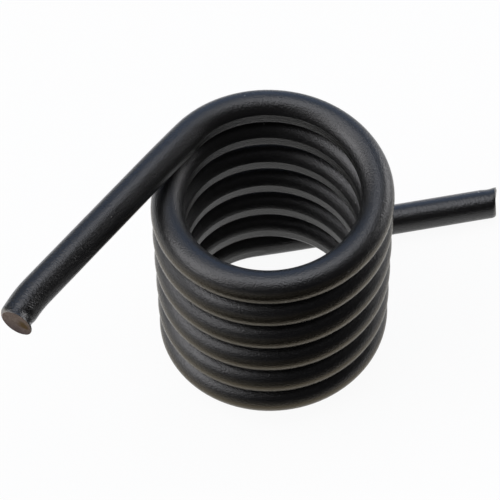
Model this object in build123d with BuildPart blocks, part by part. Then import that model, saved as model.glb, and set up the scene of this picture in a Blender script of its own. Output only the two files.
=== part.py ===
"""Right-hand torsion spring wound from one length of round wire.

Millimetres, +Z up along the coil's axis. The origin is on that axis, level with the underside of
the bottom leg. The bottom leg points along +X and leaves the coil at its +Y side.
"""

from build123d import *

import os
from math import atan, ceil, cos, pi, radians, sin, tan

# Wire
wire_diameter = 5.0

# Coil
inner_diameter = 27.0  # free bore, for the pin or sleeve that the spring works on
full_turns = 6
extra_angle = 42.0  # from the last full turn to the place where the top leg leaves
body_gap = 1.2  # air between neighbouring turns
end_gap = 0.6  # air above the first turn and below the last, which lie closer
end_turns = 1.0  # turns at each end that are wound with the end gap
arcs_per_turn = 6  # each turn of the wire's line is at least this many tangent arcs

# Legs
bottom_leg_length = 41.6  # from the coil to the middle of the cut
top_leg_length = 42.0
levelling_radius = 200.0  # gentle bend that takes each leg from the coil's slope to level

# Top tip, pushed over towards the coil when the wire was cropped
tip_bend_angle = 11.0
tip_bend_radius = 20.0
tip_straight = 2.4

# Cropped faces
bottom_crop_lean = 7.0  # of the face from square, towards the side where the blade went in
bottom_crop_rise = 5.0  # and upwards
top_crop_lean = 0.0
roll_over_radius = 0.7  # rounding on the side where the blade went in
roll_over_relief = 0.05  # keeps the rounding just clear of the wire's flank

# Derived sizes
wire_radius = wire_diameter / 2
mean_radius = inner_diameter / 2 + wire_radius
end_pitch = wire_diameter + end_gap
body_pitch = wire_diameter + body_gap
coil_turns = full_turns + extra_angle / 360
coil_arcs = ceil(coil_turns * arcs_per_turn)
turns_per_arc = coil_turns / coil_arcs
arc_run = 2 * mean_radius * tan(pi * turns_per_arc)  # along one arc's two tangents, from above
end_slope = atan(end_pitch * turns_per_arc / arc_run)
levelling_run = levelling_radius * sin(end_slope)
levelling_rise = levelling_radius * (1 - cos(end_slope))
crop_allowance = 2 * wire_radius  # wire beyond each tip, to cut away

up = Vector(0, 0, 1)


def coil_point(turn, height):
    """The middle of the wire this many turns after the bottom leg."""
    return Vector(0, mean_radius, height).rotate(Axis.Z, 360 * turn)


def coil_direction(turn):
    """The level direction in which the wire runs there."""
    return Vector(-1, 0, 0).rotate(Axis.Z, 360 * turn)


def pitch_at(turn):
    """How far the wire climbs in a turn, there."""
    in_body = end_turns < turn < coil_turns - end_turns
    return body_pitch if in_body else end_pitch


# Bottom leg: from the coil down to level, then straight out along +X
bottom_out = -coil_direction(0)
bottom_exit = coil_point(0, wire_radius + levelling_rise)
bottom_level = bottom_exit + bottom_out * levelling_run - up * levelling_rise
bottom_tip = bottom_level + bottom_out * (bottom_leg_length - levelling_run)
bottom_side = up.cross(bottom_out)
bottom_face = bottom_out.rotate(Axis((0, 0, 0), bottom_side), -bottom_crop_rise)

# Coil: the ends of its arcs, each climbing by the mean pitch of its two ends
coil_points = [bottom_exit]
height = bottom_exit.Z
for arc in range(coil_arcs):
    turn = arc * turns_per_arc
    next_turn = turn + turns_per_arc
    height += (pitch_at(turn) + pitch_at(next_turn)) / 2 * turns_per_arc
    coil_points.append(coil_point(next_turn, height))

# Top leg: up to level, straight out, and a short bend towards the coil at its tip
top_out = coil_direction(coil_turns)
top_level = coil_points[-1] + top_out * levelling_run + up * levelling_rise
top_inward = up.cross(top_out)
bend = radians(tip_bend_angle)
top_straight = top_leg_length - levelling_run - tip_bend_radius * bend - tip_straight
tip_start = top_level + top_out * top_straight
tip_out = top_out * cos(bend) + top_inward * sin(bend)
tip_side = top_inward * cos(bend) - top_out * sin(bend)
tip_end = tip_start + (top_inward - tip_side) * tip_bend_radius
top_tip = tip_end + tip_out * tip_straight

with BuildLine() as centre_line:
    run = Line(bottom_tip + bottom_out * crop_allowance, bottom_level)
    for point in coil_points + [top_level]:
        run = TangentArc(run @ 1, point, tangent=run % 1)
    Line(top_level, tip_start)
    TangentArc(tip_start, tip_end, tangent=top_out)
    Line(tip_end, top_tip + tip_out * crop_allowance)


def crop(tip, outward, blade_direction, crop_lean):
    """Cuts the wire off at a tip, as a blade moving in blade_direction leaves it."""
    reach = 2 * wire_diameter
    lean = tan(radians(crop_lean))
    entry = -(wire_radius + roll_over_relief)
    blade_line = outward.cross(blade_direction)
    with BuildSketch(Plane(origin=tip, x_dir=outward, z_dir=blade_line)) as waste:
        with BuildLine():
            Polyline(
                (-reach, entry),
                (entry * lean, entry),
                (reach * lean, reach),
                (2 * reach, reach),
                (2 * reach, -reach),
                (-reach, -reach),
                close=True,
            )
        make_face()
        entry_corner = waste.vertices().sort_by_distance((0, 0))[0]
        fillet(entry_corner, roll_over_radius)
    extrude(waste.sketch, amount=reach, both=True, mode=Mode.SUBTRACT)


with BuildPart() as spring_wire:
    wire_path = centre_line.wire()
    with BuildSketch(Plane(origin=wire_path @ 0, z_dir=wire_path % 0)):
        Circle(wire_radius)
    sweep(path=wire_path)
    crop(bottom_tip, bottom_face, bottom_side, bottom_crop_lean)
    crop(top_tip, tip_out, tip_side, top_crop_lean)

spring_wire.part.label = "spring_wire"
os.makedirs("parts", exist_ok=True)
export_step(spring_wire.part, "parts/spring_wire.step")
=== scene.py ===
import bpy
from math import asin, atan, atan2, ceil, cos, pi, radians, sin, tan
from mathutils import Matrix, Vector
from mathutils.kdtree import KDTree


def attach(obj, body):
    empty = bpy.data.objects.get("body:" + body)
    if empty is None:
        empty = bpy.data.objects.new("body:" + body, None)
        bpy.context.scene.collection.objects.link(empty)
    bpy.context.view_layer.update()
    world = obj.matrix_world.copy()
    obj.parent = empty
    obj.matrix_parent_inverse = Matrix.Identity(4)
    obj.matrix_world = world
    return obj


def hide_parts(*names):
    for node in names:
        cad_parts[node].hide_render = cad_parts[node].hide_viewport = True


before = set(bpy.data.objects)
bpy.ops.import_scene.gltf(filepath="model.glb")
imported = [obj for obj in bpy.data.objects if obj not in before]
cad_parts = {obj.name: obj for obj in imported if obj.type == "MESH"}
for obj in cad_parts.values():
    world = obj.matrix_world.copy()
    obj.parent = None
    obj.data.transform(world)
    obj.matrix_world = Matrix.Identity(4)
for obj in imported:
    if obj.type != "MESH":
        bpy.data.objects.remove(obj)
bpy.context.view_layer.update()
bpy.ops.object.select_all(action="DESELECT")

mm = 0.001
up = Vector((0, 0, 1))

shot = {
    "aim": Vector((-3.474, 0.612, 22.746)) * mm,
    "azimuth": 9.991,  # in degrees, like every angle in these dictionaries
    "elevation": 54.784,
    "roll": 1.310,
    "distance": 351.94 * mm,
    "lens": 162.195,
    "sensor": 36,
    "clip": (0.01, 50),
}


def placeCamera():
    bpy.ops.object.camera_add()
    camera = bpy.context.object
    camera.name = "shotCamera"
    turn = Matrix.Rotation(radians(-shot["azimuth"]), 4, "Z")
    turn = turn @ Matrix.Rotation(radians(90 - shot["elevation"]), 4, "X")
    turn = turn @ Matrix.Rotation(radians(-shot["roll"]), 4, "Z")
    backward = (turn @ Vector((0, 0, 1, 0))).to_3d()
    camera.matrix_world = Matrix.Translation(shot["aim"] + backward * shot["distance"]) @ turn
    camera.data.sensor_width = shot["sensor"]
    camera.data.lens = shot["lens"]
    camera.data.clip_start, camera.data.clip_end = shot["clip"]
    bpy.context.scene.camera = camera
    bpy.context.scene.view_settings.view_transform = "Standard"


placeCamera()
print("camera placed")

# the spring: a circle carried along the wire's line, then both ends shaped as the shears
# left them
spring = {
    "wireDiameter": 5.0 * mm,
    "innerDiameter": 27.0 * mm,
    "fullTurns": 6,
    "extraAngle": 42.0,  # from the last full turn to the place where the top leg leaves
    "bodyGap": 1.2 * mm,  # air between neighbouring turns
    "endGap": 0.6 * mm,  # and in the turns at each end, which lie closer
    "endTurns": 1.0,
    "arcsPerTurn": 6,
    "bottomLegLength": 41.6 * mm,
    "topLegLength": 42.0 * mm,
    "levellingRadius": 200.0 * mm,  # of the bend that takes each leg to level
    "tipBendAngle": 11.0,  # of the top leg's tip, towards the coil
    "tipBendRadius": 20.0 * mm,
    "tipStraight": 2.4 * mm,
    "sides": 64,  # points round the wire
    "ringSpacing": 1.0 * mm,  # between rings where the wire bends
    "fewestSteps": 4,  # in any bend
    "landDepth": 0.10 * mm,  # of the flat that the mandrel leaves along the inside
    "landNear": 0.01 * mm,  # faces this near the land's radius are on it
    "landUpright": 0.1,  # where their normal rises or falls less than this
    "mandrelSides": 256,
    "mandrelLength": 100.0 * mm,
    "smoothAngle": 40.0,
    # sizes of the rings of a cut face, from its edge to its middle, and how much further
    # along the wire each counts as lying
    "faceRings": [0.985, 0.93, 0.84, 0.72, 0.58, 0.42, 0.24],
    "faceStep": 0.1 * mm,
    # how far across a cut, in wire radii, each pull on its lip begins
    "lipParts": [0.45, 0.65, 0.8, 0.92],
    # each ring of a cut end: how far behind the cut, how much thinner the blade's side is
    # there, and how far the other side stands out, in mm
    "topCut": {
        "rings": [
            (2.2, 0.0, 0.0), (1.9, 0.0, -0.06), (1.6, 0.0, -0.14), (1.35, 0.0, -0.2),
            (1.15, 0.0, -0.2), (0.95, 0.0, -0.15), (0.78, 0.01, -0.08), (0.62, 0.04, 0.01),
            (0.48, 0.09, 0.11), (0.36, 0.16, 0.21), (0.25, 0.24, 0.3), (0.16, 0.33, 0.37),
            (0.08, 0.44, 0.41), (0.03, 0.53, 0.42), (0.0, 0.62, 0.4),
        ],
        "lean": 0.0,  # of the cut face from square, towards the side where the blade went in
        "rise": 0.0,  # and upwards
        "lip": 0.1 * mm,  # how far the metal was drawn out where the blade left
        "bared": 0.3,  # how much of the edge was rubbed bare on that side
    },
    "bottomCut": {
        "rings": [
            (2.2, 0.0, 0.0), (1.9, 0.0, -0.04), (1.6, 0.0, -0.08), (1.35, 0.0, -0.11),
            (1.15, 0.0, -0.12), (0.95, 0.0, -0.12), (0.78, 0.01, -0.11), (0.62, 0.03, -0.09),
            (0.48, 0.06, -0.06), (0.36, 0.1, -0.04), (0.25, 0.16, -0.02), (0.16, 0.23, -0.01),
            (0.08, 0.32, -0.01), (0.03, 0.41, -0.01), (0.0, 0.5, -0.03),
        ],
        "lean": 10.5,
        "rise": 5.0,
        "lip": 0.42 * mm,
        "bared": 0.5,
    },
    "baredReach": (0.3 * mm, 1.3 * mm),  # where the blade left, and where it went in
}

wireRadius = spring["wireDiameter"] / 2
meanRadius = spring["innerDiameter"] / 2 + wireRadius
endPitch = spring["wireDiameter"] + spring["endGap"]
bodyPitch = spring["wireDiameter"] + spring["bodyGap"]
coilTurns = spring["fullTurns"] + spring["extraAngle"] / 360
coilArcs = ceil(coilTurns * spring["arcsPerTurn"])
turnsPerArc = coilTurns / coilArcs
endSlope = atan(endPitch * turnsPerArc / (2 * meanRadius * tan(pi * turnsPerArc)))
levellingRun = spring["levellingRadius"] * sin(endSlope)
levellingRise = spring["levellingRadius"] * (1 - cos(endSlope))
landRadius = spring["innerDiameter"] / 2 + spring["landDepth"]


def turned(direction, turns):
    return Matrix.Rotation(2 * pi * turns, 3, "Z") @ direction


def pitchAt(turn):
    inBody = spring["endTurns"] < turn < coilTurns - spring["endTurns"]
    return bodyPitch if inBody else endPitch


# bottom leg
bottomOut = Vector((1, 0, 0))
bottomSide = up.cross(bottomOut)
bottomExit = Vector((0, meanRadius, wireRadius + levellingRise))
bottomLevel = bottomExit + bottomOut * levellingRun - up * levellingRise
bottomTip = bottomLevel + bottomOut * (spring["bottomLegLength"] - levellingRun)

# coil
coilPoints = [bottomExit]
for arc in range(coilArcs):
    turn = arc * turnsPerArc
    nextTurn = turn + turnsPerArc
    rise = (pitchAt(turn) + pitchAt(nextTurn)) / 2 * turnsPerArc
    height = coilPoints[-1].z + rise
    coilPoints.append(turned(Vector((0, meanRadius, 0)), nextTurn) + up * height)

# top leg
topOut = turned(Vector((-1, 0, 0)), coilTurns)
topLevel = coilPoints[-1] + topOut * levellingRun + up * levellingRise
topInward = up.cross(topOut)
bend = radians(spring["tipBendAngle"])
bendRadius = spring["tipBendRadius"]
tipLength = bendRadius * bend + spring["tipStraight"]
topStraight = spring["topLegLength"] - levellingRun - tipLength
tipStart = topLevel + topOut * topStraight
tipOut = topOut * cos(bend) + topInward * sin(bend)
tipSide = topInward * cos(bend) - topOut * sin(bend)
tipEnd = tipStart + (topInward - tipSide) * bendRadius
topTip = tipEnd + tipOut * spring["tipStraight"]


def cutLength(cut):
    return cut["rings"][0][0] * mm


def beginWire():
    start = bottomTip - bottomOut * cutLength(spring["bottomCut"])
    bpy.ops.mesh.primitive_circle_add(
        vertices=spring["sides"], radius=wireRadius, fill_type="NOTHING", location=start,
        rotation=(-bottomOut).to_track_quat("Z", "Y").to_euler())
    piece = bpy.context.object
    piece.name = "springWire"
    piece.data.name = "springWire"
    bpy.ops.object.transform_apply(location=True, rotation=True, scale=True)
    bpy.ops.object.mode_set(mode="EDIT")
    bpy.ops.mesh.select_all(action="SELECT")
    return piece, start


def carryStraight(alongRings, run):
    bpy.ops.mesh.extrude_region_move(TRANSFORM_OT_translate={"value": run})
    alongRings.append(alongRings[-1] + run.length)


def carryRound(alongRings, start, end, direction):
    # the arc that leaves start in this direction and reaches end
    chord = end - start
    inward = (chord - direction * chord.dot(direction)).normalized()
    radius = chord.length_squared / (2 * chord.dot(inward))
    angle = 2 * asin(chord.length / 2 / radius)
    steps = max(spring["fewestSteps"], ceil(radius * angle / spring["ringSpacing"]))
    axis = direction.cross(inward)
    bpy.ops.mesh.spin(
        steps=steps, angle=-angle, center=start + inward * radius, axis=axis,
        dupli=False, use_auto_merge=False)
    alongRings += [alongRings[-1] + radius * angle * (n + 1) / steps for n in range(steps)]
    return (Matrix.Rotation(angle, 3, axis) @ direction).normalized()


def selectRing(piece, ring):
    sides = spring["sides"]
    bpy.ops.mesh.select_all(action="DESELECT")
    bpy.ops.object.mode_set(mode="OBJECT")
    for vertex in piece.data.vertices:
        vertex.select = ring * sides <= vertex.index < (ring + 1) * sides
    bpy.ops.object.mode_set(mode="EDIT")


def shapeEnd(piece, alongRings, ring, cut, tip, outward, blade):
    # outward leaves the wire, blade is the way the shears went through it
    selectRing(piece, ring)
    away = 1 if ring else -1
    along = alongRings[ring]
    length = cutLength(cut)
    squareFace = outward.cross(blade)
    axes = Matrix((outward, blade, squareFace)).transposed()
    last, lastAxes, lastSize, lastCentre = length, axes, 1.0, tip - outward * length
    for back, thinner, proud in cut["rings"][1:]:
        back, thinner, proud = back * mm, thinner * mm, proud * mm
        turn = 1 - back / length
        lean, rise = radians(cut["lean"]) * turn, radians(cut["rise"]) * turn
        face = (outward - blade * tan(lean) + up * tan(rise)).normalized()
        across = (blade - face * blade.dot(face)).normalized()
        axes = Matrix((face, across, face.cross(across))).transposed()
        size = (1 + (proud - thinner) / spring["wireDiameter"]) / cos(lean)
        centre = tip - outward * back + across * (proud + thinner) / 2
        swing = (axes @ lastAxes.transposed()).to_quaternion()
        bpy.ops.mesh.spin(
            steps=1, angle=-swing.angle, center=lastCentre, axis=swing.axis, dupli=False,
            use_auto_merge=False)
        bpy.ops.transform.translate(value=centre - lastCentre)
        bpy.ops.transform.resize(
            value=(1, 1, size / lastSize), orient_type="GLOBAL", orient_matrix_type="GLOBAL",
            orient_matrix=axesWith(across), center_override=centre)
        along += away * (last - back)
        alongRings.append(along)
        last, lastAxes, lastSize, lastCentre = back, axes, size, centre
    drawLip(piece, len(alongRings) - 1, centre, outward, across, cut["lip"])
    lastSize = 1.0
    for size in spring["faceRings"]:
        bpy.ops.mesh.extrude_region_move(TRANSFORM_OT_translate={"value": (0, 0, 0)})
        bpy.ops.transform.resize(value=(size / lastSize,) * 3, center_override=centre)
        along += away * spring["faceStep"]
        alongRings.append(along)
        lastSize = size


def drawLip(piece, ring, centre, outward, across, length):
    # draws out the edge where the blade left, most in its middle
    sides, parts = spring["sides"], spring["lipParts"]
    for least in parts:
        bpy.ops.mesh.select_all(action="DESELECT")
        bpy.ops.object.mode_set(mode="OBJECT")
        for vertex in piece.data.vertices[ring * sides:(ring + 1) * sides]:
            vertex.select = (vertex.co - centre).dot(across) > least * wireRadius
        bpy.ops.object.mode_set(mode="EDIT")
        bpy.ops.transform.translate(value=outward * length / len(parts))
    selectRing(piece, ring)


def axesWith(direction):
    # a set of axes whose Z is this direction
    first = direction.orthogonal().normalized()
    return Matrix((first, direction.cross(first), direction)).transposed()


def closeEnd(piece, ring):
    selectRing(piece, ring)
    bpy.ops.mesh.merge(type="CENTER")


def ringCentres(piece, rings):
    sides = spring["sides"]
    points = [vertex.co.copy() for vertex in piece.data.vertices]
    ringPoints = [points[ring * sides:(ring + 1) * sides] for ring in range(rings)]
    return [sum(around, Vector()) / sides for around in ringPoints]


def fillStraights(centres, alongRings):
    # centres a ring spacing apart, also along the straight legs and out to the cuts
    ends = [(bottomTip, -(bottomTip - centres[0]).length)]
    ends += list(zip(centres, alongRings))
    ends.append((topTip, alongRings[len(centres) - 1] + (topTip - centres[-1]).length))
    line, along = [], []
    for (first, start), (second, end) in zip(ends, ends[1:]):
        steps = max(1, ceil((end - start) / spring["ringSpacing"]))
        for step in range(steps):
            line.append(first.lerp(second, step / steps))
            along.append(start + (end - start) * step / steps)
    return line + [ends[-1][0]], along + [ends[-1][1]]


def sharpenLand(piece):
    # keeps the land's two edges crisp: those with the land on one side only
    data = piece.data
    beside = {}
    for face in data.polygons:
        away = abs(face.center.to_2d().length - landRadius)
        onLand = away < spring["landNear"] and abs(face.normal.z) < spring["landUpright"]
        for key in face.edge_keys:
            beside.setdefault(key, set()).add(onLand)
    for edge in data.edges:
        if len(beside[tuple(sorted(edge.vertices))]) == 2:
            edge.use_edge_sharp = True


def pressLand(piece):
    # the mandrel leaves a narrow flat along the inside of every turn
    bpy.ops.object.select_all(action="DESELECT")
    bpy.ops.mesh.primitive_cylinder_add(
        vertices=spring["mandrelSides"], radius=landRadius, depth=spring["mandrelLength"],
        location=(0, 0, coilPoints[-1].z / 2))
    mandrel = bpy.context.object
    bpy.ops.object.transform_apply(location=True, rotation=True, scale=True)
    press = piece.modifiers.new("land", "BOOLEAN")
    press.operation = "DIFFERENCE"
    press.solver = "EXACT"
    press.object = mandrel
    bpy.context.view_layer.objects.active = piece
    bpy.ops.object.modifier_apply(modifier="land")
    bpy.data.objects.remove(mandrel)
    piece.select_set(True)


def markPlaces(piece, centres, alongRings):
    # what the materials need to know at each point, the last two only near a cut: its place
    # on the wire before it was wound, which side of the wire it is on (inward and up), its
    # place on the cut (the way the blade went and upwards) and how bare the shears left it
    data = piece.data
    for name in ("wirePlace", "wireSide", "cutPlace"):
        data.attributes.new(name, "FLOAT_VECTOR", "POINT")
    data.attributes.new("nearCut", "FLOAT", "POINT")
    places, sides = data.attributes["wirePlace"].data, data.attributes["wireSide"].data
    cutPlaces, bared = data.attributes["cutPlace"].data, data.attributes["nearCut"].data
    cuts = [(topTip, tipOut, tipSide, spring["topCut"]["bared"]),
            (bottomTip, bottomOut, bottomSide, spring["bottomCut"]["bared"])]
    leastReach, mostReach = spring["baredReach"]
    tree = KDTree(len(centres))
    for index, centre in enumerate(centres):
        tree.insert(centre, index)
    tree.balance()
    for index, vertex in enumerate(data.vertices):
        near, ring, distance = tree.find(vertex.co)
        before, after = centres[max(ring - 1, 0)], centres[min(ring + 1, len(centres) - 1)]
        line = (after - before).normalized()
        onward = (vertex.co - near).dot(line)
        offset = vertex.co - near - line * onward
        inward = -Vector((near.x, near.y, 0)).normalized()
        angle = atan2(offset.z, offset.dot(inward))
        around = Vector((0, cos(angle), sin(angle))) * wireRadius
        places[index].vector = Vector((alongRings[ring] + onward, 0, 0)) + around
        sides[index].vector = (offset.dot(inward) / wireRadius, offset.z / wireRadius, 0)
        for tip, outward, blade, least in cuts:
            fromTip = (vertex.co - tip) / wireRadius
            if fromTip.length < 2:
                across = outward.cross(blade)
                cutPlaces[index].vector = (fromTip.dot(blade), fromTip.dot(across), 0)
                entry = max(0.0, -fromTip.dot(blade))
                back = max(0.0, -fromTip.dot(outward)) * wireRadius
                reach = leastReach + (mostReach - leastReach) * entry
                amount = max(0.0, 1 - back / reach)
                bared[index].value = amount * (least + (1 - least) * entry)


def makeWire():
    # alongRings keeps how far along the wire each ring lies, from the bottom leg's first
    topCut, bottomCut = spring["topCut"], spring["bottomCut"]
    alongRings = [0.0]
    piece, start = beginWire()
    carryStraight(alongRings, bottomLevel - start)
    direction = -bottomOut
    place = bottomLevel
    for point in coilPoints + [topLevel]:
        direction = carryRound(alongRings, place, point, direction)
        place = point
    carryStraight(alongRings, tipStart - topLevel)
    carryRound(alongRings, tipStart, tipEnd, topOut)
    carryStraight(alongRings, tipOut * (spring["tipStraight"] - cutLength(topCut)))
    lastRing = len(alongRings) - 1
    shapeEnd(piece, alongRings, lastRing, topCut, topTip, tipOut, tipSide)
    topRing = len(alongRings) - 1
    shapeEnd(piece, alongRings, 0, bottomCut, bottomTip, bottomOut, bottomSide)
    bottomRing = len(alongRings) - 1
    bpy.ops.object.mode_set(mode="OBJECT")
    centres = ringCentres(piece, lastRing + 1)
    bpy.ops.object.mode_set(mode="EDIT")
    closeEnd(piece, bottomRing)
    closeEnd(piece, topRing)
    bpy.ops.mesh.select_all(action="SELECT")
    bpy.ops.mesh.normals_make_consistent(inside=False)
    bpy.ops.object.mode_set(mode="OBJECT")
    pressLand(piece)
    markPlaces(piece, *fillStraights(centres, alongRings))
    bpy.ops.object.shade_smooth_by_angle(angle=radians(spring["smoothAngle"]))
    sharpenLand(piece)
    return piece


springWire = makeWire()
print("wire made:", len(springWire.data.polygons), "faces")

# the wire's skin: black oxide under a film of oil, worn thin here and there, with a painted warm
# reflection below each turn
oxideLook = {
    "black": (0.0022, 0.0022, 0.0024, 1),
    "patch": (0.0040, 0.0038, 0.0036, 1),
    "patchSize": 3.5 * mm,
    "worn": (0.27, 0.245, 0.20, 1),  # bare steel where the cut's edge was rubbed
    "wornMetallic": 0.5,
    "wornBroken": (0.6, 1.25),  # how much the grain takes from it and adds to it
    "wornLevels": (0.25, 0.85),  # between none and all of it
    "speck": (0.25, 0.24, 0.22, 1),
    "speckSpacing": 2.2 * mm,
    "speckSize": 0.05,  # of the spacing
    "speckShare": 0.3,
    "smooth": 0.27,  # roughness of the smoothest skin
    "rough": 0.41,  # and of the roughest
    "unevenLevels": (-0.3, 1.3),  # of grain and patches together, between those two
    "tint": (1.0, 0.985, 0.95, 1),
    "oil": 0.6,  # share of a full oil film
    "oilRoughness": 0.28,
    # the brown, smoother band below the coil's outside, bare of oil: a painted warm reflection of
    # the floor, as brown metal
    "brown": (0.073, 0.061, 0.041, 1),
    "warmReflectionRoughness": 0.18,
    "warmReflectionMiddle": -165.0,  # round the wire, from the line that faces the coil's axis
    "warmReflectionHalfWidth": 38.0,
    "warmReflectionEdge": 28.0,
    "grainSize": 0.27 * mm,
    "grainDepth": 0.08 * mm,
    "drawLength": 9.0 * mm,
    "drawSpacing": 0.22 * mm,
    "drawDepth": 0.002 * mm,
}

# the flat pressed along the inside, as painted round the wire
landLook = {
    "halfWidth": 16.2,
    "edge": 2.0,
    "roughness": 0.26,
    "oilLost": 0.4,  # share of the oil film that is missing there
    "score": (0.055, 0.055, 0.050, 1),
    "scoreLevels": (0.48, 0.62),  # of the noise, between no score and a full one
    "scoreSpacing": 0.26 * mm,
    "scoreLength": 16.0 * mm,
    "scoreDepth": 0.010 * mm,
}

# the torn steel of the two cut faces
cutLook = {
    "steel": (0.25, 0.19, 0.145, 1),
    "brown": (0.15, 0.095, 0.06, 1),
    "low": (0.085, 0.05, 0.045, 1),  # painted shade along the lower edge
    "rust": (0.11, 0.062, 0.012, 1),
    "rustMiddle": (0.62, 0.05),  # the way the blade went and upwards, in wire radii
    "rustSize": 0.4,
    "rustEdge": 0.3,
    "rustRoughness": 0.85,
    "raggedness": 0.5,  # of the rust's outline
    "shadeLevels": (0.5, -0.7),  # upwards in wire radii, between no painted shade and a full one
    "shadeRaggedness": 0.6,
    "patchSize": 1.9 * mm,
    "metallic": 0.35,
    "roughness": 0.55,
    "tearSize": 0.30 * mm,
    "tearDepth": 0.03 * mm,
    # faces this near a tip, and facing out of the wire at least so much, are the cut
    "reach": 3.0 * mm,
    "facing": 0.9,
}

# levels between which most of a noise lies
noiseLevels = (0.3, 0.7)
lowNoiseLevels = (0.25, 0.6)


def addNode(tree, kind, **values):
    node = tree.nodes.new(kind)
    for name, value in values.items():
        if hasattr(node, name):
            setattr(node, name, value)
        else:
            node.inputs[name].default_value = value
    return node


def join(tree, start, end):
    tree.links.new(start, end)


def newGroup(name, inputs, outputs):
    group = bpy.data.node_groups.new(name, "ShaderNodeTree")
    for label, kind in inputs:
        group.interface.new_socket(label, in_out="INPUT", socket_type=kind)
    for label, kind in outputs:
        group.interface.new_socket(label, in_out="OUTPUT", socket_type=kind)
    return group, group.nodes.new("NodeGroupInput"), group.nodes.new("NodeGroupOutput")


def placeGroup(tree, group, source, values):
    # every group here takes a place or a side first
    node = tree.nodes.new("ShaderNodeGroup")
    node.node_tree = group
    join(tree, source, node.inputs[0])
    for name, value in values.items():
        node.inputs[name].default_value = value
    return node


def newMaterial(name, kind="ShaderNodeBsdfPrincipled"):
    material = bpy.data.materials.new(name)
    material.use_nodes = True
    tree = material.node_tree
    tree.nodes.clear()
    shader = addNode(tree, kind)
    output = addNode(tree, "ShaderNodeOutputMaterial")
    join(tree, shader.outputs[0], output.inputs["Surface"])
    return material, tree, shader


def mathNode(tree, operation, *values):
    # each value is a number or a socket
    node = addNode(tree, "ShaderNodeMath", operation=operation)
    for value, socket in zip(values, node.inputs):
        if isinstance(value, float):
            socket.default_value = value
        else:
            join(tree, value, socket)
    return node.outputs[0]


def mapRange(tree, source, low, high, toLow=0.0, toHigh=1.0, kind="LINEAR"):
    node = addNode(tree, "ShaderNodeMapRange", interpolation_type=kind)
    join(tree, source, node.inputs["Value"])
    ends = {"From Min": low, "From Max": high, "To Min": toLow, "To Max": toHigh}
    for name, value in ends.items():
        node.inputs[name].default_value = value
    return node.outputs["Result"]


def smoothRange(tree, source, low, high):
    return mapRange(tree, source, low, high, kind="SMOOTHSTEP")


def mixColours(tree, mask, first, second):
    # each colour is a tuple or a socket; 6 and 7 are the node's two colours
    node = addNode(tree, "ShaderNodeMix", data_type="RGBA")
    join(tree, mask, node.inputs["Factor"])
    for colour, socket in ((first, node.inputs[6]), (second, node.inputs[7])):
        if isinstance(colour, tuple):
            socket.default_value = colour
        else:
            join(tree, colour, socket)
    return node.outputs[2]


def mixValues(tree, mask, first, second):
    # from a socket to a plain number; 2 and 3 are the node's two values
    node = addNode(tree, "ShaderNodeMix", data_type="FLOAT")
    join(tree, mask, node.inputs["Factor"])
    join(tree, first, node.inputs[2])
    node.inputs[3].default_value = second
    return node.outputs[0]


def addBump(tree, height, distance, under=None):
    node = addNode(tree, "ShaderNodeBump", Distance=distance)
    join(tree, height, node.inputs["Height"])
    if under:
        join(tree, under, node.inputs["Normal"])
    return node.outputs["Normal"]


def makeMottle():
    # cloudy patches and a fine grain, both from 0 to 1 round 0.5
    group, given, result = newGroup(
        "mottle",
        [("Place", "NodeSocketVector"), ("Grain Size", "NodeSocketFloat"),
         ("Patch Size", "NodeSocketFloat")],
        [("Grain", "NodeSocketFloat"), ("Patches", "NodeSocketFloat")])
    for size, out, detail in (("Grain Size", "Grain", 2.0), ("Patch Size", "Patches", 3.0)):
        noise = addNode(group, "ShaderNodeTexNoise", Detail=detail, Roughness=0.6)
        join(group, given.outputs["Place"], noise.inputs["Vector"])
        join(group, mathNode(group, "DIVIDE", 1.0, given.outputs[size]), noise.inputs["Scale"])
        join(group, noise.outputs["Fac"], result.inputs[out])
    return group


def makeDrawLines():
    # fine lines along the wire, left by the drawing die
    group, given, result = newGroup(
        "drawLines",
        [("Place", "NodeSocketVector"), ("Length", "NodeSocketFloat"),
         ("Spacing", "NodeSocketFloat")],
        [("Lines", "NodeSocketFloat")])
    apart = addNode(group, "ShaderNodeSeparateXYZ")
    join(group, given.outputs["Place"], apart.inputs[0])
    together = addNode(group, "ShaderNodeCombineXYZ")
    for axis, size in (("X", "Length"), ("Y", "Spacing"), ("Z", "Spacing")):
        part = mathNode(group, "DIVIDE", apart.outputs[axis], given.outputs[size])
        join(group, part, together.inputs[axis])
    noise = addNode(group, "ShaderNodeTexNoise", Scale=1.0, Detail=2.0, Roughness=0.5)
    join(group, together.outputs[0], noise.inputs["Vector"])
    join(group, noise.outputs["Fac"], result.inputs["Lines"])
    return group


def makeSpecks():
    # scattered dots of dust and bared metal
    group, given, result = newGroup(
        "specks",
        [("Place", "NodeSocketVector"), ("Spacing", "NodeSocketFloat"),
         ("Size", "NodeSocketFloat"), ("Share", "NodeSocketFloat")],
        [("Specks", "NodeSocketFloat")])
    cells = addNode(group, "ShaderNodeTexVoronoi", Randomness=1.0)
    join(group, given.outputs["Place"], cells.inputs["Vector"])
    join(group, mathNode(group, "DIVIDE", 1.0, given.outputs["Spacing"]), cells.inputs["Scale"])
    small = mathNode(group, "LESS_THAN", cells.outputs["Distance"], given.outputs["Size"])
    chance = addNode(group, "ShaderNodeSeparateColor")
    join(group, cells.outputs["Color"], chance.inputs[0])
    few = mathNode(group, "LESS_THAN", chance.outputs[0], given.outputs["Share"])
    join(group, mathNode(group, "MULTIPLY", small, few), result.inputs["Specks"])
    return group


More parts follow.
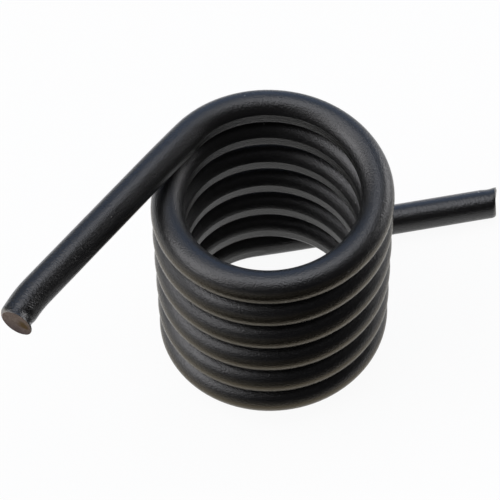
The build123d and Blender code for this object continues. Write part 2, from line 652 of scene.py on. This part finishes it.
def makeWireBand():
    # 1 in a band along the wire, whose middle and width are angles round the wire from the
    # line that faces the coil's axis
    group, given, result = newGroup(
        "wireBand",
        [("Side", "NodeSocketVector"), ("Middle", "NodeSocketFloat"),
         ("Half Width", "NodeSocketFloat"), ("Edge", "NodeSocketFloat")],
        [("Band", "NodeSocketFloat")])
    apart = addNode(group, "ShaderNodeSeparateXYZ")
    join(group, given.outputs["Side"], apart.inputs[0])
    angle = mathNode(group, "ARCTAN2", apart.outputs["Y"], apart.outputs["X"])
    across = mathNode(group, "SUBTRACT", angle, given.outputs["Middle"])
    away = mathNode(group, "ABSOLUTE", mathNode(group, "WRAP", across, pi, -pi))
    inside = mathNode(group, "SUBTRACT", given.outputs["Half Width"], away)
    soft = mathNode(group, "DIVIDE", inside, given.outputs["Edge"])
    held = addNode(group, "ShaderNodeClamp")
    join(group, mathNode(group, "ADD", soft, 0.5), held.inputs["Value"])
    join(group, held.outputs[0], result.inputs["Band"])
    return group


mottle = makeMottle()
drawLines = makeDrawLines()
specks = makeSpecks()
wireBand = makeWireBand()


def makeOxide():
    look, land = oxideLook, landLook
    material, tree, shader = newMaterial("oiledBlackOxide")
    place = addNode(tree, "ShaderNodeAttribute", attribute_name="wirePlace").outputs["Vector"]
    side = addNode(tree, "ShaderNodeAttribute", attribute_name="wireSide").outputs["Vector"]
    near = addNode(tree, "ShaderNodeAttribute", attribute_name="nearCut").outputs["Fac"]
    mottled = placeGroup(
        tree, mottle, place, {"Grain Size": look["grainSize"], "Patch Size": look["patchSize"]})
    grain, patches = mottled.outputs["Grain"], mottled.outputs["Patches"]
    drawn = placeGroup(
        tree, drawLines, place, {"Length": look["drawLength"], "Spacing": look["drawSpacing"]})
    scored = placeGroup(
        tree, drawLines, place, {"Length": land["scoreLength"], "Spacing": land["scoreSpacing"]})
    dots = placeGroup(
        tree, specks, place,
        {"Spacing": look["speckSpacing"], "Size": look["speckSize"], "Share": look["speckShare"]})
    onLand = placeGroup(
        tree, wireBand, side,
        {"Middle": 0.0, "Half Width": radians(land["halfWidth"]), "Edge": radians(land["edge"])})
    # the band below the coil's outside that carries the painted warm reflection of the floor
    onWarmReflection = placeGroup(
        tree, wireBand, side,
        {"Middle": radians(look["warmReflectionMiddle"]), "Half Width": radians(look["warmReflectionHalfWidth"]),
         "Edge": radians(look["warmReflectionEdge"])})
    onLand, onWarmReflection = onLand.outputs["Band"], onWarmReflection.outputs["Band"]

    patchy = mapRange(tree, patches, *noiseLevels)
    colour = mixColours(tree, patchy, look["black"], look["patch"])
    # painted warm reflection: brown below the coil's outside
    colour = mixColours(tree, onWarmReflection, colour, look["brown"])
    colour = mixColours(tree, dots.outputs["Specks"], colour, look["speck"])
    score = mapRange(tree, scored.outputs["Lines"], *land["scoreLevels"])
    colour = mixColours(tree, mathNode(tree, "MULTIPLY", score, onLand), colour, land["score"])
    broken = mapRange(tree, grain, *lowNoiseLevels, *look["wornBroken"])
    worn = mapRange(tree, mathNode(tree, "MULTIPLY", near, broken), *look["wornLevels"])
    join(tree, mixColours(tree, worn, colour, look["worn"]), shader.inputs["Base Color"])
    bared = mathNode(tree, "MULTIPLY", worn, look["wornMetallic"])
    # metal in the painted warm reflection, so the floor it mirrors turns brown
    join(tree, mathNode(tree, "MAXIMUM", bared, onWarmReflection), shader.inputs["Metallic"])

    uneven = mathNode(tree, "ADD", mapRange(tree, grain, *noiseLevels, -0.5, 0.5), patchy)
    roughness = mapRange(tree, uneven, *look["unevenLevels"], look["smooth"], look["rough"])
    roughness = mixValues(tree, onLand, roughness, land["roughness"])
    roughness = mixValues(tree, onWarmReflection, roughness, look["warmReflectionRoughness"])
    join(tree, roughness, shader.inputs["Roughness"])

    normal = addBump(tree, grain, look["grainDepth"])
    normal = addBump(tree, drawn.outputs["Lines"], look["drawDepth"], normal)
    score = mathNode(tree, "MULTIPLY", scored.outputs["Lines"], onLand)
    normal = addBump(tree, score, land["scoreDepth"], normal)
    join(tree, normal, shader.inputs["Normal"])
    join(tree, normal, shader.inputs["Coat Normal"])
    wiped = mathNode(tree, "MULTIPLY", onLand, land["oilLost"])
    # no oil on the land's wiped share, and none on the painted warm reflection
    oiled = mathNode(tree, "SUBTRACT", 1.0, mathNode(tree, "MAXIMUM", wiped, onWarmReflection))
    join(tree, mathNode(tree, "MULTIPLY", oiled, look["oil"]), shader.inputs["Coat Weight"])
    shader.inputs["Specular Tint"].default_value = look["tint"]
    shader.inputs["Coat Roughness"].default_value = look["oilRoughness"]
    return material


def makeCutSteel():
    look = cutLook
    material, tree, shader = newMaterial("cutSteel")
    place = addNode(tree, "ShaderNodeTexCoord").outputs["Object"]
    torn = placeGroup(
        tree, mottle, place, {"Grain Size": look["tearSize"], "Patch Size": look["patchSize"]})
    tears, patches = torn.outputs["Grain"], torn.outputs["Patches"]
    stained = mapRange(tree, tears, *noiseLevels)
    colour = mixColours(tree, stained, look["steel"], look["brown"])
    cutPlace = addNode(tree, "ShaderNodeAttribute", attribute_name="cutPlace").outputs["Vector"]
    apart = addNode(tree, "ShaderNodeSeparateXYZ")
    join(tree, cutPlace, apart.inputs[0])
    # painted shade: the cut face darker towards its lower edge, with a ragged border
    uneven = mathNode(tree, "MULTIPLY", patches, look["shadeRaggedness"])
    raised = mathNode(tree, "ADD", apart.outputs["Y"], uneven)
    colour = mixColours(tree, mapRange(tree, raised, *look["shadeLevels"]), colour, look["low"])

    away = addNode(tree, "ShaderNodeVectorMath", operation="DISTANCE")
    join(tree, cutPlace, away.inputs[0])
    away.inputs[1].default_value = (*look["rustMiddle"], 0)
    uneven = mathNode(tree, "MULTIPLY", patches, look["raggedness"])
    ragged = mathNode(tree, "ADD", away.outputs["Value"], uneven)
    rusty = mapRange(tree, ragged, look["rustSize"] + look["rustEdge"], look["rustSize"])
    join(tree, mixColours(tree, rusty, colour, look["rust"]), shader.inputs["Base Color"])
    metallic = mapRange(tree, rusty, 0.0, 1.0, look["metallic"], 0.0)
    roughness = mapRange(tree, rusty, 0.0, 1.0, look["roughness"], look["rustRoughness"])
    join(tree, metallic, shader.inputs["Metallic"])
    join(tree, roughness, shader.inputs["Roughness"])
    join(tree, addBump(tree, tears, look["tearDepth"]), shader.inputs["Normal"])
    return material


def finishWire(piece):
    piece.data.materials.append(makeOxide())
    piece.data.materials.append(makeCutSteel())
    for face in piece.data.polygons:
        for tip, outward in ((topTip, tipOut), (bottomTip, bottomOut)):
            near = (face.center - tip).length < cutLook["reach"]
            if near and face.normal.dot(outward) > cutLook["facing"]:
                face.material_index = 1


finishWire(springWire)
print("materials made")

# a sheet of pale paper that glows a little; where the wire mirrors it, a painted pool of light
# with painted shade in front of the coil and dark surroundings
stageLook = {
    "size": 6.0,
    "drop": 0.02 * mm,
    "paper": (0.88, 0.88, 0.87, 1),
    "glow": (1.0, 1.0, 1.0, 1),
    "shown": 0.94,  # share of the floor's brightness that is its own, as the camera sees it
    "mirrored": 0.6,  # and as the wire mirrors it
    # the grey outside the painted pool of light
    "far": (0.05, 0.05, 0.052, 1),
    # as the wire mirrors it: where the painted pool of light in the middle of the floor ends, and
    # where its far grey begins, on axes turned a little
    "turn": 10.0,
    "left": (-56 * mm, -900 * mm),
    "right": (50 * mm, 230 * mm),
    # the painted shade in front of the coil, towards the camera
    "front": (-20 * mm, -48 * mm),
    "back": (76 * mm, 330 * mm),
    "frontLeft": (-50 * mm, -100 * mm),  # the painted shade in front lies only between these two
    "frontRight": (130 * mm, 300 * mm),
}


def makeFloor():
    look = stageLook
    bpy.ops.mesh.primitive_plane_add(size=look["size"], location=(0, 0, -look["drop"]))
    floor = bpy.context.object
    floor.name = "floor"
    bpy.ops.object.transform_apply(location=True, rotation=True, scale=True)
    material, tree, mix = newMaterial("paleFloor", "ShaderNodeMixShader")
    place = addNode(tree, "ShaderNodeTexCoord").outputs["Object"]
    turn = addNode(tree, "ShaderNodeMapping", Rotation=(0, 0, radians(look["turn"])))
    join(tree, place, turn.inputs["Vector"])
    apart = addNode(tree, "ShaderNodeSeparateXYZ")
    join(tree, turn.outputs[0], apart.inputs[0])
    # the painted pool of light, with painted shade in front of the coil; the camera sees it all
    # bright
    poolOfLight = smoothRange(tree, apart.outputs["Y"], *reversed(look["front"]))
    for edge in ("frontLeft", "frontRight"):
        beside = smoothRange(tree, apart.outputs["X"], *look[edge])
        poolOfLight = mathNode(tree, "MAXIMUM", poolOfLight, beside)
    for axis, edge in (("X", "left"), ("X", "right"), ("Y", "back")):
        inside = smoothRange(tree, apart.outputs[axis], *reversed(look[edge]))
        poolOfLight = mathNode(tree, "MULTIPLY", poolOfLight, inside)
    rays = addNode(tree, "ShaderNodeLightPath")
    poolOfLight = mathNode(tree, "MAXIMUM", poolOfLight, rays.outputs["Is Camera Ray"])

    paper = addNode(tree, "ShaderNodeBsdfDiffuse")
    join(tree, mixColours(tree, poolOfLight, look["far"], look["paper"]), paper.inputs["Color"])
    glow = addNode(tree, "ShaderNodeEmission")
    join(tree, mixColours(tree, poolOfLight, look["far"], look["glow"]), glow.inputs["Color"])
    own = mathNode(tree, "MULTIPLY", rays.outputs["Is Camera Ray"], look["shown"])
    for ray in ("Is Glossy Ray", "Is Transmission Ray"):
        mirrored = mathNode(tree, "MULTIPLY", rays.outputs[ray], look["mirrored"])
        own = mathNode(tree, "MAXIMUM", own, mirrored)
    for source, socket in zip((own, paper.outputs[0], glow.outputs[0]), mix.inputs):
        join(tree, source, socket)
    floor.data.materials.append(material)
    return floor


floor = makeFloor()

# the room: grey walls and soft lights, each by the way it lies, how wide it is and how bright
roomLook = {
    "backdrop": (0.93, 0.93, 0.93, 1),  # as the camera sees the room
    "walls": (0.052, 0.052, 0.055),
    "ceiling": {"azimuth": 5, "elevation": 82, "core": 12, "edge": 33, "colour": (2.15, 2.2, 2.4)},
    "left": {"azimuth": -84, "elevation": 36, "core": 12, "edge": 37, "colour": (2.8, 2.8, 2.95)},
    "back": {"azimuth": 13, "elevation": 19, "core": 15, "edge": 43, "colour": (0.34, 0.47, 0.74)},
    "right": {"azimuth": 68, "elevation": 10, "core": 9, "edge": 26, "colour": (3.0, 3.0, 3.1)},
    "horizon": (0.3, 0.3, 0.3),  # a low glow behind the object
    "horizonHeights": (0.08, 0.03),
    "horizonBehind": (-0.45, 0.1),
}


def lightMask(tree, look, light):
    # 1 towards the light's middle, falling smoothly to 0 at its edge
    azimuth, elevation = radians(light["azimuth"]), radians(light["elevation"])
    toward = (sin(azimuth) * cos(elevation), cos(azimuth) * cos(elevation), sin(elevation))
    dot = addNode(tree, "ShaderNodeVectorMath", operation="DOT_PRODUCT")
    join(tree, look, dot.inputs[0])
    dot.inputs[1].default_value = toward
    edge, core = cos(radians(light["edge"])), cos(radians(light["core"]))
    return smoothRange(tree, dot.outputs["Value"], edge, core)


def addLight(tree, total, mask, colour):
    strength = addNode(tree, "ShaderNodeVectorMath", operation="SCALE")
    strength.inputs[0].default_value = colour
    join(tree, mask, strength.inputs["Scale"])
    added = addNode(tree, "ShaderNodeVectorMath", operation="ADD")
    if isinstance(total, tuple):
        added.inputs[0].default_value = total
    else:
        join(tree, total, added.inputs[0])
    join(tree, strength.outputs[0], added.inputs[1])
    return added.outputs[0]


def makeRoom():
    world = bpy.data.worlds.new("studio")
    bpy.context.scene.world = world
    world.use_nodes = True
    tree = world.node_tree
    tree.nodes.clear()
    look = addNode(tree, "ShaderNodeTexCoord").outputs["Generated"]
    total = roomLook["walls"]
    for name in ("ceiling", "left", "back", "right"):
        light = roomLook[name]
        total = addLight(tree, total, lightMask(tree, look, light), light["colour"])
    apart = addNode(tree, "ShaderNodeSeparateXYZ")
    join(tree, look, apart.inputs[0])
    low = mapRange(tree, apart.outputs["Z"], *roomLook["horizonHeights"])
    behind = mapRange(tree, apart.outputs["Y"], *roomLook["horizonBehind"])
    total = addLight(tree, total, mathNode(tree, "MULTIPLY", low, behind), roomLook["horizon"])
    seen = addNode(tree, "ShaderNodeLightPath").outputs["Is Camera Ray"]
    background = addNode(tree, "ShaderNodeBackground")
    join(tree, mixColours(tree, seen, total, roomLook["backdrop"]), background.inputs["Color"])
    output = addNode(tree, "ShaderNodeOutputWorld")
    join(tree, background.outputs[0], output.inputs["Surface"])


makeRoom()
print("stage lit")

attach(springWire, "root")
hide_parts("spring_wire")
